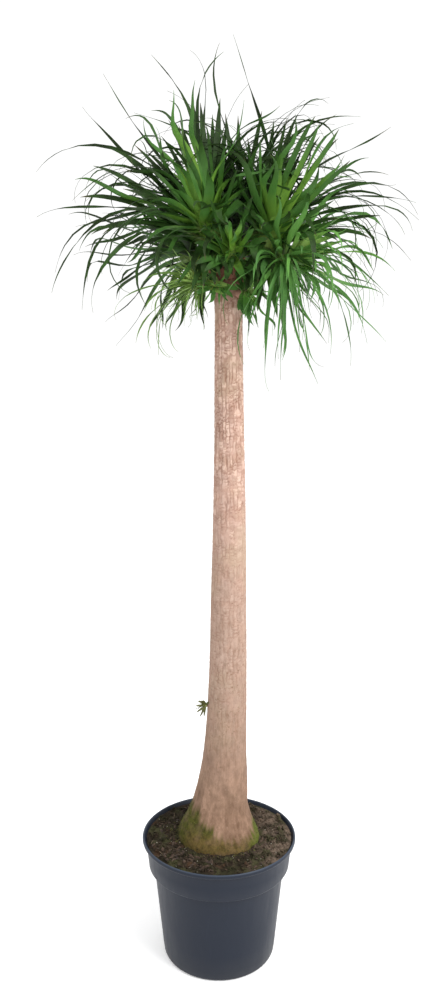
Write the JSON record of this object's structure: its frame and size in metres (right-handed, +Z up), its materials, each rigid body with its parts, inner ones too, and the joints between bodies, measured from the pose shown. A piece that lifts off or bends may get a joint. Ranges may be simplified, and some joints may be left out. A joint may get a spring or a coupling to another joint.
{
  "type": "potted ponytail palm",
  "caption": "Tall single-stem ponytail palm with a swollen foot and a tousled crown of strap leaves, growing in a round nursery pot.",
  "frame": {"origin": "centre of the pot's flat underside, on the floor that it stands on", "axes": "+Z up along the stem, -Y towards the side that the plant is shown from, +X to the right of that view"},
  "size_m": [0.8906, 0.6875, 2.3328],
  "materials": {
    "pot_plastic": "anthracite moulded polypropylene, satin",
    "potting_soil": "moist peat with bark, perlite grains and a film of algae",
    "bark": "pale corky bark, split into small plates, green with algae at the foot",
    "leaf": "leathery green strap leaves with a soft sheen",
    "young_leaf": "lighter, thinner leaves of the side shoots"
  },
  "bodies": {
    "root": {"pot": "pot_plastic", "soil": "potting_soil", "stem": "bark", "head_left": "leaf", "head_right": "leaf", "head_back": "leaf", "head_back_left": "leaf", "head_low_right": "leaf", "tuft_low_left": "young_leaf", "tuft_centre": "young_leaf", "shoot_hanging": "young_leaf", "shoot_front": "young_leaf", "sprig_on_stem": "young_leaf"}
  },
  "joints": []
}
